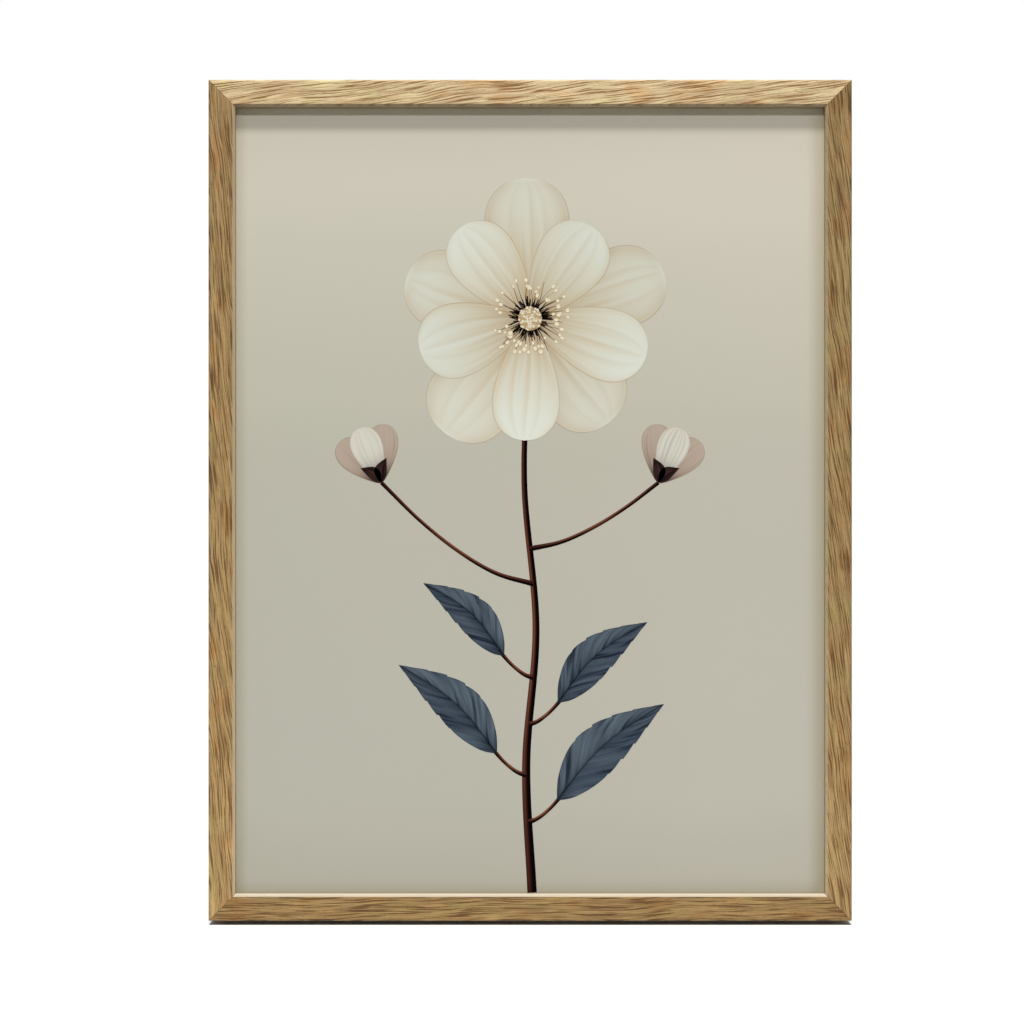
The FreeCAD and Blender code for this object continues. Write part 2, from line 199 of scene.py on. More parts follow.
def oak(name, node, pale, deep, slant, seed, figure, crisp, bevel_light_shade):
    """Growth lines: noise over (along / 24, across / 0.66) mm, cut to thin dark lines. Pores: finer and shorter.

    On a rail's outer side the depth from its front takes the place of across. slant tilts the lines, figure is how
    far they wander and crisp is how dark they are. The last argument is the bevel's tone: partly the paler wood
    left by sanding and partly painted light and shade, dark where the bevel faces down, pale where it faces up,
    and painted 1.6 times paler again on the lip's inner face.
    """
    wood = Finish(name, Specular_IOR_Level=0.25)
    x, y, z = wood.place()
    low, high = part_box(node)
    front = low.y * 1000
    edges = {
        "top_rail": (z, low.z, 1),
        "bottom_rail": (z, high.z, -1),
        "left_stile": (x, high.x, -1),
        "right_stile": (x, low.x, 1),
    }
    axis, opening, way = edges[node]
    from_opening = (axis - opening * 1000) * way
    along, across = (z, x) if axis is x else (x, z)
    wander = wood.noise(along / 48, across / 16, y / 16 + seed) - 0.5
    slow = wood.noise(along / 130, seed, 0.0) - 0.5
    bent = wander * 4.2 * figure + slow * 12
    lines_at = across + along * slant + bent + (y - front) + FIRST_LINE
    hue = wood.noise(along / 24, across / 12, seed + 11.0)
    band = wood.noise(along / 70, lines_at / 2.4, seed + 3.0).between(0.35, 0.65)
    line = wood.noise(along / 24, lines_at / 0.66, seed + 7.0, detail=1.0, roughness=0.4).between(0.49, 0.6)
    ray = wood.noise(along / 14, lines_at / 0.55, seed + 17.0, detail=1.0).between(0.5, 0.7)
    pores = wood.noise(along / 2.8, lines_at / 0.3, y / 3 + seed).between(0.58, 0.68)
    colour = wood.mix(hue.between(0.5, 0.68) * 0.75, pale, [c * k for c, k in zip(pale, (1.0, 0.76, 0.54))])
    colour = wood.mix((1 - hue.between(0.34, 0.5)) * 0.6, colour, [c * k for c, k in zip(pale, (0.96, 1.1, 0.9))])
    colour = wood.mix(band * 0.4, colour, deep)
    colour = wood.mix(line * crisp, colour, deep)
    colour = wood.mix(ray * 0.6, colour, [c * 1.4 for c in pale])
    colour = wood.mix(pores * 0.4, colour, [c * 0.5 for c in deep])
    # Painted light and shade: the bevel and the lip's inner face take the rail's bevel tone, dark where the bevel
    # faces down and pale where it faces up, and the inner face is painted 1.6 times paler as painted light.
    sanded_and_painted_bevel = (1 - from_opening.between(0.8, 1.4)) * (1 - y.between(front + 5.0, front + 8.0))
    side = wood.mix(y.between(front + 0.8, front + 1.3), bevel_light_shade, [c * 1.6 for c in bevel_light_shade])
    colour = wood.mix(sanded_and_painted_bevel * 0.75, colour, side)
    wood.feed(Base_Color=colour, Roughness=0.5 + line * 0.1 + pores * 0.2)
    wood.bump(1 - pores * 0.6 - line * 0.2 + ray * 0.1, 0.1, 0.5)
    return wood


# The last tones are painted light and shade on the bevels: dark on the top rail, which faces down, pale on the
# bottom rail, which faces up, and between these on the two stiles.
top_board = oak(
    "oak top board", "top_rail", rgb(220, 197, 154), rgb(140, 98, 52),
    slant=-0.13, seed=1.0, figure=1.2, crisp=0.95, bevel_light_shade=(0.22, 0.17, 0.11),
)
bottom_board = oak(
    "oak bottom board", "bottom_rail", rgb(147, 119, 75), rgb(82, 54, 22),
    slant=-0.02, seed=23.0, figure=0.8, crisp=0.9, bevel_light_shade=(0.52, 0.46, 0.35),
)
left_board = oak(
    "oak left board", "left_stile", rgb(168, 139, 92), rgb(96, 65, 30),
    slant=0.1, seed=41.0, figure=1.0, crisp=0.9, bevel_light_shade=(0.5, 0.4, 0.26),
)
right_board = oak(
    "oak right board", "right_stile", rgb(161, 134, 88), rgb(92, 62, 28),
    slant=0.14, seed=67.0, figure=1.0, crisp=0.9, bevel_light_shade=(0.42, 0.33, 0.2),
)
coat(top_board, "top_rail")
coat(bottom_board, "bottom_rail")
coat(left_board, "left_stile")
coat(right_board, "right_stile")

# %% [markdown]
# ## Paper
#
# The print's ground is a warm grey that is lightest near the top and a little warmer to the right. A run of
# colours up the sheet gives its grey tones, partly the paper's own and partly painted light: lighter towards the
# top and darker towards the foot. Multiplied tints warm them, cloud them and paint a warm shade along the
# sheet's sides and foot, where the lip of the frame shades it.

# %% The ground of the print
print_low, print_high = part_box("art_print")
print_rise = (print_high.z - print_low.z) * 1000
print_wide = (print_high.x - print_low.x) * 1000


def ground(finish):
    """The ground's colour: grey tones that lighten up the sheet, partly as painted light, warm to the right, with
    painted shade along three edges.
    """
    x, y, z = finish.place()
    height = (z - print_low.z * 1000) / print_rise
    # Partly painted light: the run of grey tones is lighter towards the top and darker towards the foot.
    greys_and_painted_light = finish.ramp(
        height,
        [
            (0.0, rgb(155, 151, 138)),
            (0.12, rgb(166, 164, 152)),
            (0.37, rgb(176, 173, 160)),
            (0.565, rgb(181, 178, 163)),
            (0.635, rgb(184, 181, 166)),
            (0.83, rgb(197, 193, 177)),
            (0.93, rgb(204, 198, 183)),
            (1.0, rgb(195, 189, 173)),
        ],
    )
    side = (x / print_wide + 0.5).between(0.35, 1.0)
    warmer = finish.mix(side * 0.5, greys_and_painted_light, finish.mix(1.0, greys_and_painted_light, (1.12, 1.085, 1.1), "MULTIPLY"))
    cloud = finish.noise(x / 70, 0.0, z / 70).between(0.25, 0.75)
    greener = finish.mix(cloud * 0.35, warmer, finish.mix(1.0, warmer, (0.975, 1.0, 0.965), "MULTIPLY"))
    # Painted shade: the sheet is darkened and warmed within a few millimetres of its left, right and foot edges,
    # where the frame's lip shades it and the oak throws back warm light.
    shade_near_left = 1 - (x - print_low.x * 1000).between(1.0, 7.0)
    shade_near_right = 1 - (print_high.x * 1000 - x).between(1.0, 10.0)
    shade_near_foot = 1 - (z - print_low.z * 1000).between(0.0, 9.0)
    painted_edge_shade = finish.mix(1.0, greener, (0.79, 0.755, 0.66), "MULTIPLY")
    return finish.mix(shade_near_left * 0.6 + shade_near_right * 0.95 + shade_near_foot * 0.4, greener, painted_edge_shade)


def tooth(finish):
    """The paper's own fine surface."""
    x, y, z = finish.place()
    finish.bump(finish.noise(x / 0.35, y / 0.35, z / 0.35, detail=3.0), 0.03, 0.5)


paper = Finish("art paper", Roughness=0.85, Specular_IOR_Level=0.2)
paper.feed(Base_Color=ground(paper))
tooth(paper)
coat(paper, "art_print")

# %% [markdown]
# ## Boards behind the print
#
# The mount board shows only in the gap above the print. The panel's edge is white board, the filler and the
# risers are hidden, and the back is hardboard: pressed brown fibre with flecks.

# %% Boards
def board(name, colour, flecks, reach):
    """A plain board: one colour, flecked by noise whose grains are reach mm wide."""
    made = Finish(name, Roughness=0.8, Specular_IOR_Level=0.25)
    x, y, z = made.place()
    fleck = made.noise(x / reach, y / reach, z / reach, detail=4.0, roughness=0.65)
    cloud = made.noise(x / 45, y / 45, z / 45)
    shade = made.mix(fleck.between(0.4, 0.72) * flecks, colour, [c * 0.45 for c in colour])
    made.feed(Base_Color=made.mix(cloud * 0.3, shade, [c * 1.25 for c in colour]))
    made.bump(fleck, 0.05, 0.5)
    return made


coat(board("mount board", rgb(243, 241, 222), 0.04, 0.5), "mount_board")
coat(board("white board", rgb(226, 224, 216), 0.1, 0.6), "art_panel", "filler_board")
coat(board("riser board", rgb(222, 220, 210), 0.1, 0.6), "riser_top", "riser_bottom", "riser_left", "riser_right")
coat(board("hardboard", rgb(132, 96, 62), 0.75, 0.9), "backing_board")

# %% [markdown]
# ## Steel and rubber
#
# Zinc plating is a soft grey metal with faint cloudy spangles and fine rubbing marks. The bumpers are matt black
# rubber with a little bloom.

# %% Hardware finishes
def zinc(name, colour, streak):
    """Plated steel: cloudy noise changes the roughness, and stretched noise adds rubbing marks."""
    made = Finish(name, Metallic=1.0)
    x, y, z = made.place()
    cloud = made.noise(x / 2.5, y / 2.5, z / 2.5, detail=3.0)
    marks = made.noise(x / 0.15, y / 2, z / streak, detail=2.0)
    made.feed(Base_Color=made.mix(cloud.between(0.3, 0.7), [c * 0.8 for c in colour], colour))
    made.feed(Roughness=0.3 + cloud * 0.2 + marks * 0.12)
    made.bump(marks, 0.01, 0.4)
    return made


rings = ["hanger_ring_left", "hanger_ring_right"]
straps = ["hanger_strap_left", "hanger_strap_right"]
buttons = [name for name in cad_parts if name.startswith("turn_button") and name != "turn_button_screws"]
coat(zinc("zinc sheet", rgb(196, 198, 200), 6.0), *straps, *buttons)
coat(zinc("zinc wire", rgb(206, 206, 204), 1.5), *rings)
coat(zinc("zinc screws", rgb(188, 186, 178), 0.8), "turn_button_screws", "hanger_screws", "corner_v_nails")

rubber = Finish("bumper rubber", Specular_IOR_Level=0.3)
rx, ry, rz = rubber.place()
bloom = rubber.noise(rx / 1.2, ry / 1.2, rz / 1.2, detail=4.0)
rubber.feed(Base_Color=rubber.mix(bloom, rgb(26, 26, 27), rgb(46, 45, 44)), Roughness=0.62 + bloom * 0.25)
rubber.bump(bloom, 0.03, 0.4)
coat(rubber, "wall_bumpers")

# %% [markdown]
# ## Films of colour
#
# The drawing is made the way a printer lays it down: back shapes first, front shapes over them. Each shape is a
# surface with two parameters, one along it and one across, worked out as whole numpy arrays. Its colour is
# painted on the same grid as an attribute. A film is closed: its back and rim are sunk into the paper, and its
# front stands a few hundredths of a millimetre proud. Flat painted geometry was chosen over a picture laid on the
# sheet, because its edges stay sharp at any distance.

# %% Curves through a few points
def smooth_run(values, at):
    """A smooth curve through evenly spaced values (numbers or points), read at places from 0 to 1.

    Between two values it is the cubic whose slope at each value is half the step between its two neighbours.
    """
    known = np.asarray(values, float)
    first = 2 * known[0] - known[1]
    last = 2 * known[-1] - known[-2]
    padded = np.concatenate([[first], known, [last]])
    spot = np.clip(at, 0, 1) * (len(known) - 1)
    left = np.minimum(spot.astype(int), len(known) - 2)
    step = spot - left
    if known.ndim > 1:
        step = step[..., None]
    p0, p1, p2, p3 = (padded[left + i] for i in range(4))
    slope1 = (p2 - p0) / 2
    slope2 = (p3 - p1) / 2
    cubed, squared = step**3, step**2
    return (
        (2 * cubed - 3 * squared + 1) * p1
        + (cubed - 2 * squared + step) * slope1
        + (3 * squared - 2 * cubed) * p2
        + (cubed - squared) * slope2
    )


def wander(x, y, seed):
    """Smooth noise from 0 to 1: random heights on a unit grid, joined by smooth steps."""
    heights = np.random.default_rng(seed).random((64, 64))
    x, y = np.broadcast_arrays(x, y)
    column, row = np.floor(x).astype(int), np.floor(y).astype(int)
    fx, fy = x - column, y - row
    fx, fy = fx * fx * (3 - 2 * fx), fy * fy * (3 - 2 * fy)
    corner = [[heights[(column + i) % 64, (row + j) % 64] for j in (0, 1)] for i in (0, 1)]
    low = corner[0][0] * (1 - fy) + corner[0][1] * fy
    high = corner[1][0] * (1 - fy) + corner[1][1] * fy
    return low * (1 - fx) + high * fx


def step_between(value, low, high):
    """0 below low, 1 above high and a smooth step between them, on arrays."""
    part = np.clip((value - low) / (high - low), 0, 1)
    return part * part * (3 - 2 * part)


def tint(colour, over, amount):
    """Lays a second colour over a first by an amount from 0 to 1, on arrays of colours."""
    amount = np.clip(amount, 0, 1)[..., None]
    return colour * (1 - amount) + np.asarray(over) * amount


# %% Meshes from grids
SUNK = 0.06
MARGIN = 0.02
paper_face = print_low.y * 1000


class Film:
    """Collects shapes that are printed as one colour film, and makes one closed mesh of them.

    A shape is a grid of points (across the sheet, up the sheet) in millimetres, a grid of colours, and its lift
    off the paper. Its points are kept a margin inside the sheet.
    """

    def __init__(self, name):
        self.name = name
        self.points = []
        self.faces = []
        self.colours = []
        self.count = 0

    def add(self, flat, colours, lift):
        rows, columns = flat.shape[:2]
        inside_x = np.clip(flat[..., 0], print_low.x * 1000 + MARGIN, print_high.x * 1000 - MARGIN)
        inside_z = np.clip(flat[..., 1], print_low.z * 1000 + MARGIN, print_high.z * 1000 - MARGIN)
        opaque = np.concatenate([colours, np.ones(colours.shape[:2] + (1,))], axis=-1)
        for depth in (-lift, SUNK):
            layer = np.stack([inside_x, np.full(inside_x.shape, paper_face + depth), inside_z], axis=-1)
            self.points.append(layer.reshape(-1, 3))
            self.colours.append(opaque.reshape(-1, 4))
        index = np.arange(rows * columns).reshape(rows, columns)
        quads = np.stack([index[:-1, :-1], index[:-1, 1:], index[1:, 1:], index[1:, :-1]], axis=-1).reshape(-1, 4)
        rim = np.concatenate([index[0, :-1], index[:-1, -1], index[-1, :0:-1], index[:0:-1, 0]])
        ahead = np.roll(rim, -1)
        under = rows * columns
        walls = np.stack([ahead, rim, rim + under, ahead + under], axis=-1)
        faces = np.concatenate([quads, quads[:, ::-1] + under, walls])
        a, b, c = (flat.reshape(-1, 2)[quads[:, i]] for i in (0, 1, 2))
        turned = np.sum((b - a)[:, 0] * (c - b)[:, 1] - (b - a)[:, 1] * (c - b)[:, 0])
        if turned < 0:
            faces = faces[:, ::-1]
        self.faces.append(faces + self.count)
        self.count += 2 * under

    def finish(self, material):
        points = np.concatenate(self.points) / 1000
        faces = np.concatenate(self.faces)
        mesh = bpy.data.meshes.new(self.name)
        mesh.from_pydata(points.tolist(), [], faces.tolist())
        ink = mesh.color_attributes.new("ink", "FLOAT_COLOR", "POINT")
        ink.data.foreach_set("color", np.concatenate(self.colours).ravel())
        mesh.materials.append(material)
        piece = bpy.data.objects.new(self.name, mesh)
        bpy.context.collection.objects.link(piece)
        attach(piece, "frame")
        print(self.name, "has", len(faces), "faces")
        return piece


# %% The printing ink
ink = Finish("printing ink", Roughness=0.95, Specular_IOR_Level=0.0)
laid = ink.node("ShaderNodeAttribute", {"attribute_name": "ink"}, output="Color")
ink_x, _, ink_z = ink.place()
speckle = ink.mix(ink.noise(ink_x / 0.5, 0.0, ink_z / 0.5), (0.0, 0.0, 0.0), (1.0, 1.0, 1.0))
ink.feed(Base_Color=ink.mix(0.12, laid, speckle, "SOFT_LIGHT"))
tooth(ink)

# %% [markdown]
# ## Stems
#
# The plant has one gently waving stem, with stalks to either side for the leaves and buds. Each is a ribbon: a
# smooth curve through a few points, with a width that changes along it. It is nearly black on its shaded side, and
# a red-brown light runs down the other. The stalks are thinner and redder, and turn up as a power of the way out.

# %% Ribbons
def along_curve(points, at):
    """Places on the smooth curve through the points, and the unit vectors across it, to its left."""
    place = smooth_run(points, at)
    tangent = np.gradient(place, axis=0)
    tangent /= np.linalg.norm(tangent, axis=1, keepdims=True)
    return place, np.stack([-tangent[:, 1], tangent[:, 0]], axis=-1)


INK_SPREAD = 1.06


def ribbon(points, widths, rows=90, columns=9):
    """Point (s, v) is curve(s) plus v times half the inked width, across the curve; v runs from -1 to 1."""
    s = np.linspace(0, 1, rows)
    v = np.linspace(-1, 1, columns)
    place, left = along_curve(points, s)
    half = smooth_run(widths, s) / 2 * INK_SPREAD
    flat = place[:, None] + left[:, None] * (v[None, :, None] * half[:, None, None])
    return flat, s[:, None] + 0 * v[None], v[None] + 0 * s[:, None]


def stem(film, points, widths, warm, lift, lit):
    """warm, from 0 to 1 along the stem, turns the lit side from near black to red-brown; lit is that side."""
    flat, s, v = ribbon(points, widths)
    warmth = smooth_run(warm, s)
    colour = tint(np.zeros(s.shape + (3,)) + rgb(9, 5, 6), rgb(146, 92, 64), np.clip(warmth - 0.75, 0, 1) * 3)
    side = step_between(v * lit, -0.25, 0.35)
    colour = tint(colour, rgb(100, 52, 40), side * warmth * (0.7 + 0.3 * wander(s * 9, 0 * s, 1)))
    glint = np.exp(-(((v * lit) - 0.55) ** 2) / 0.05)
    colour = tint(colour, rgb(164, 104, 76), glint * warmth**2 * 0.8)
    film.add(flat, colour, lift)


# %% The stems of the plant
heart = (0.0, 308.0)
STALK_STEPS = (0.0, 0.25, 0.5, 0.75, 1.0)
main_stem = [(0.0, 300), (-3.0, 225), (3.0, 150), (-2.0, 80), (1.0, 13.8)]
stem_places = smooth_run(main_stem, np.linspace(1, 0, 200))
stems = Film("print_stems")
stem(stems, main_stem, [2.4, 2.8, 3.4, 4.0, 4.6], [0.1, 0.4, 0.6, 0.4, 0.2], 0.03, lit=-1)


def on_stem(height):
    """The place on the main stem at a height."""
    return (float(np.interp(height, stem_places[:, 1], stem_places[:, 0])), height)


def stalk(height, side, reach, rise):
    """A side stalk: reach t out and rise t^1.6 up, so it leaves the main stem flat; returns its tip."""
    start = on_stem(height)
    steps = [(start[0] + side * reach * t, height + rise * t**1.6) for t in STALK_STEPS]
    stem(stems, steps, [2.6, 2.0, 1.8, 1.7, 1.9], [0.2, 0.6, 0.8, 0.7, 0.3], 0.035, lit=side)
    return steps[-1]


leaf_heights = ((50, 1), (74, -1), (100, 1), (124, -1))
leaf_feet = [(stalk(height, side, reach=16, rise=12), side) for height, side in leaf_heights]
bud_feet = [(stalk(172, -1, reach=78, rise=52), -1), (stalk(190, 1, reach=66, rise=34), 1)]
stems.finish(ink.material)

# %% [markdown]
# ## Petals and leaves
#
# A petal or leaf is a spine with a half width on each side, and both come from a formula: an egg for a petal, a
# pointed lens for a leaf. The grid's places bunch up towards both edges, as the sine does, so the dark rim is
# drawn finely. Light, folds and the shadow of the next petal are painted as functions of the same two parameters.

# %% Blades
def outline(foot, angle, length, across, along, bow=0.0):
    """The two edges, from foot to tip: the spine is along, bowed by a sine, and the edges are across from it."""
    ahead = np.array([math.cos(angle), math.sin(angle)])
    beside = np.array([-ahead[1], ahead[0]])
    spine = np.array(foot) + along[:, None] * ahead + (bow * np.sin(along / length * np.pi))[:, None] * beside
    return spine + across[:, None] * beside, spine - across[:, None] * beside


def egg(foot, angle, length, half):
    """A round-ended petal: length (1 - cos a) / 2 along and half sin a across, narrower towards its foot."""
    a = np.linspace(0, np.pi, 13)
    along = length * (1 - np.cos(a)) / 2
    return outline(foot, angle, length, half * np.sin(a) * (0.35 + 0.75 * along / length), along)


def lens(foot, angle, length, half, bow):
    """A pointed leaf: length t along and half sin(pi t^0.8) across, with its spine bowed to one side."""
    t = np.linspace(0, 1, 13)
    return outline(foot, angle, length, half * np.sin(np.pi * t**0.8), length * t, bow)


def edge_run(points, at):
    """Places on the smooth curve through the points, spaced evenly by length."""
    fine = smooth_run(points, np.linspace(0, 1, 500))
    length = np.concatenate([[0], np.cumsum(np.linalg.norm(np.diff(fine, axis=0), axis=1))])
    return np.stack([np.interp(at * length[-1], length, fine[:, axis]) for axis in (0, 1)], axis=-1)


def blade(left, right, rows=130, columns=80):
    """Point (s, v) lies between the two edges: (1 + v) / 2 of the way from right(s) to left(s).

    Both edges run from the foot to the tip. Returns the points, s, v and half the width at each point.
    """
    s = np.linspace(0.004, 0.997, rows)
    v = np.sin(np.linspace(-1, 1, columns) * np.pi / 2)
    port, starboard = edge_run(left, s), edge_run(right, s)
    part = ((1 + v) / 2)[None, :, None]
    flat = starboard[:, None] * (1 - part) + port[:, None] * part
    half = np.linalg.norm(port - starboard, axis=1) / 2
    return flat, s[:, None] + 0 * v[None], v[None] + 0 * s[:, None], half[:, None] + 0 * v[None]


CREAM = rgb(217, 217, 199)
LIGHT = rgb(221, 224, 211)
BLUSH = rgb(212, 204, 180)
TAN = rgb(194, 173, 138)
UMBER = rgb(140, 111, 84)
GOLD = rgb(192, 162, 108)


def petal(film, left, right, lift, shadows, base, base_reach, folds, seed, tone):
    """Paints one petal.

    Streaks are noise that is fine across and slow along. base is the depth of the tan at the heart. A shadow is
    (side, colour, reach in mm, strength, from, to) along one edge, and a fold is (v at the heart, v at the tip,
    strength): a soft dark crease with a light ridge beside it. tone darkens the whole petal.
    """
    flat, s, v, half = blade(left, right)
    streak = wander(v * 9 + 40, s * 1.1, seed) * 0.55 + wander(v * 23 + 40, s * 1.6, seed + 1) * 0.45
    broad = wander(v * 1.7 + 20, s * 1.4, seed + 2)
    colour = np.zeros(s.shape + (3,)) + CREAM
    colour = tint(colour, LIGHT, step_between(s, 0.25, 0.85) * (0.4 + 0.7 * broad))
    colour = tint(colour, BLUSH, (1 - step_between(s, 0.2, 0.75)) * (0.15 + 0.5 * streak + 0.25 * (1 - broad)))
    colour = tint(colour, TAN, step_between(streak, 0.55, 0.85) * (1 - step_between(s, 0.15, 0.7)) * 0.4)
    colour = tint(colour, LIGHT, step_between(1 - streak, 0.55, 0.85) * (1 - step_between(s, 0.3, 0.9)) * 0.25)
    colour = tint(colour, TAN, np.exp(-((s / base_reach) ** 2)) * base * (0.5 + 0.6 * streak))
    colour = tint(colour, UMBER, np.exp(-((s / (base_reach * 0.5)) ** 2)) * base * (0.3 + 0.7 * streak))
    for at_foot, at_tip, strength in folds:
        crease = v - (at_foot + (at_tip - at_foot) * s)
        shade = np.exp(-((crease / 0.12) ** 2)) * (crease < 0) + np.exp(-((crease / 0.03) ** 2)) * (crease >= 0)
        colour = tint(colour, TAN, shade * strength * np.sin(np.clip(s * 1.1, 0, 1) * np.pi) ** 0.5)
        ridge = np.exp(-(((crease - 0.08) / 0.05) ** 2))
        colour = tint(colour, LIGHT, ridge * strength * 0.8 * np.sin(np.clip(s, 0, 1) * np.pi))
    for side, shade, reach, strength, start, stop in shadows:
        inward = (1 - v * side) * half
        run = step_between(s, start - 0.08, start + 0.08) * (1 - step_between(s, stop - 0.08, stop + 0.08))
        colour = tint(colour, shade, np.exp(-inward / reach) * strength * run)
    edge = (1 - np.abs(v)) * half
    colour = tint(colour, LIGHT, np.exp(-(((edge - 0.9) / 0.6) ** 2)) * 0.2)
    colour = tint(colour, UMBER, np.exp(-((edge / 0.22) ** 2)) * 0.5)
    film.add(flat, colour * tone, lift)


# %% The flower: two rings of five equal petals, the front ring turned by half a step
PETALS = 5
BASE_REACH = 0.42
shape = np.random.default_rng(5)
left_deep = [(1, TAN, 7, 0.7, 0.0, 0.9), (1, UMBER, 3, 0.7, 0.0, 0.6)]
right_deep = [(-1, TAN, 7, 0.7, 0.0, 0.9), (-1, UMBER, 3, 0.7, 0.0, 0.6)]
soft = [(1, TAN, 1.6, 0.5, 0.1, 0.9), (-1, GOLD, 1.4, 0.6, 0.1, 0.9)]


def whorl(name, first, length, half, lift, shadows, base, seed):
    """Equal petals at equal turns round the heart, each a little different in size and turn."""
    film = Film(name)
    for lap in range(PETALS):
        angle = math.radians(first + 360 / PETALS * lap + shape.uniform(-3, 3))
        left, right = egg(heart, angle, length * shape.uniform(0.95, 1.05), half * shape.uniform(0.93, 1.07))
        folds = [(shape.uniform(-0.2, 0.2), shape.uniform(-0.1, 0.1), 0.3), (-0.5, -0.35, 0.2), (0.5, 0.35, 0.2)]
        tone = shape.uniform(0.88, 0.95)
        petal(film, left, right, lift + lap * 0.002, shadows, base, BASE_REACH, folds, seed + lap, tone)
    film.finish(ink.material)


whorl("print_petals_behind", 90, length=70, half=27, lift=0.04, shadows=left_deep + right_deep, base=1.1, seed=11)
whorl("print_petals_before", 54, length=60, half=23, lift=0.06, shadows=soft, base=0.9, seed=21)

# %% [markdown]
# ## Leaves and buds
#
# The leaves are blue-grey, with a dark midrib, slanting side veins and a notched edge. The notches are a sawtooth
# along the leaf that narrows it a little. A bud is three small petals from the same egg, held by two dark sepals.
# Their outlines come from the same two formulas as the flower's, so the whole plant looks drawn by one hand.

# %% Leaves
PALE_SLATE = rgb(102, 115, 123)
DEEP_SLATE = rgb(30, 40, 57)
NIGHT = rgb(8, 10, 16)
LEAF_LEAN = 48
TUCK = 1.5


def leaf(film, left, right, lift, light, seed):
    """Paints one leaf between two notched edges: a dark midrib, slanting side veins, a lightness for each half.

    The veins are noise over (s - |v| / 4, |v|), so they leave the midrib at a slant.
    """
    flat, s, v, half = blade(left, right, rows=120, columns=72)
    away = np.abs(v)
    middle = (flat[:, :1] + flat[:, -1:]) / 2
    notch = 1 - 0.075 * (s * 7.5 % 1) ** 2 * step_between(s, 0.3, 0.5)
    flat = middle + (flat - middle) * notch[..., None]
    forward = s - away * 0.24
    vein = wander(forward * 26 + 30, away * 1.2 + (v > 0) * 8, seed) * 0.65
    vein = vein + wander(forward * 58 + 30, away * 2 + (v > 0) * 8, seed + 1) * 0.35
    lightness = np.where(v > 0, light[0], light[1]) * (0.72 + 0.28 * step_between(away, 0.0, 0.5))
    colour = tint(np.zeros(s.shape + (3,)) + DEEP_SLATE, PALE_SLATE, lightness * (0.1 + 1.1 * vein))
    colour = tint(colour, NIGHT, step_between(1 - vein, 0.62, 0.85) * 0.55)
    colour = tint(colour, PALE_SLATE, step_between(vein, 0.7, 0.9) * 0.3 * lightness)
    colour = tint(colour, NIGHT, np.exp(-((v * half / 0.42) ** 2)) * 0.85 * (1 - s * 0.3))
    colour = tint(colour, NIGHT, np.exp(-(v * half / 2.4)) * (v > 0) * 0.35)
    colour = tint(colour, NIGHT, (1 - step_between(s, 0.02, 0.2)) * 0.5)
    colour = tint(colour, DEEP_SLATE, np.exp(-(((1 - away) * half / 0.4) ** 2)) * 0.5)
    film.add(flat, colour, lift)


leaves = Film("print_leaves")
for lap, (foot, side) in enumerate(leaf_feet):
    angle = math.radians(90 - side * LEAF_LEAN)
    foot = (foot[0] - TUCK * math.cos(angle), foot[1] - TUCK * math.sin(angle))
    left, right = lens(foot, angle, 74 - 6 * lap, 12.5 - lap, side * 5)
    leaf(leaves, left, right, 0.045, light=(0.66, 0.42) if side > 0 else (0.42, 0.66), seed=31 + lap)
leaves.finish(ink.material)

# %% Buds
ROSE = rgb(172, 154, 137)
PLUM = rgb(66, 45, 40)
SOOT = rgb(24, 17, 19)
HAZE = rgb(190, 182, 167)
PEARL = rgb(206, 204, 190)
BUD_LEAN = 22
FOOT_SHADE = 0.3


def bud_petal(film, left, right, lift, body, seed):
    """A bud's petal: dark at its foot, and veined by noise that is fine across and slow along."""
    flat, s, v, half = blade(left, right, rows=90, columns=56)
    veins = wander(v * 8 + 30, s * 1.2, seed) * 0.45 + wander(v * 21 + 30, s * 1.8, seed + 1) * 0.55
    edge = (1 - np.abs(v)) * half
    colour = np.zeros(s.shape + (3,)) + body
    colour = tint(colour, HAZE, step_between(s, 0.3, 0.9) * 0.4 * veins)
    colour = tint(colour, [c * 0.5 for c in body], step_between(veins, 0.5, 0.85) * 0.75 * (1 - s * 0.55))
    colour = tint(colour, PLUM, np.exp(-((s / FOOT_SHADE) ** 2)) * 0.95)
    colour = tint(colour, SOOT, np.exp(-((s / (FOOT_SHADE * 0.6)) ** 2)) * 0.85)
    colour = tint(colour, [c * 0.45 for c in body], np.exp(-((edge / 0.5) ** 2)) * 0.5 * (1 - s * 0.7))
    film.add(flat, colour, lift)


def sepal(film, left, right, lift):
    """A dark leaf-like cup that holds a bud."""
    flat, s, v, _ = blade(left, right, rows=50, columns=24)
    streak = step_between(wander(v * 6 + 20, s * 2, 3), 0.45, 0.9)
    colour = tint(np.zeros(s.shape + (3,)) + SOOT, PLUM, streak * 0.8)
    film.add(flat, colour, lift)


buds = Film("print_buds")
for lap, (foot, side) in enumerate(bud_feet):
    lean = 90 - side * BUD_LEAN
    for step, (turn, body) in enumerate(((24, ROSE), (-24, ROSE), (0, PEARL))):
        left, right = egg(foot, math.radians(lean + turn), length=30, half=10)
        bud_petal(buds, left, right, 0.04 + 0.005 * step, body, seed=49 + lap * 3 + step)
    for turn in (34, -34):
        left, right = lens(foot, math.radians(lean + turn), length=13, half=3.2, bow=-turn / 20)
        sepal(buds, left, right, 0.055)
buds.finish(ink.material)

# %% [markdown]
# ## The flower's heart
#
# Fine dark threads stand all round the heart, and most end in a cream grain of pollen. The threads are thin
# ribbons and the grains are small discs, both placed by a seeded random draw, so every run draws the same flower.

# %% Threads and grains
draw = np.random.default_rng(7)
threads = Film("print_threads")
grains = Film("print_grains")
BOSS = 6.0
GRAIN_LIFT = 0.11
BOSS_LIFT = 0.1
EACH_HIGHER = 0.0001


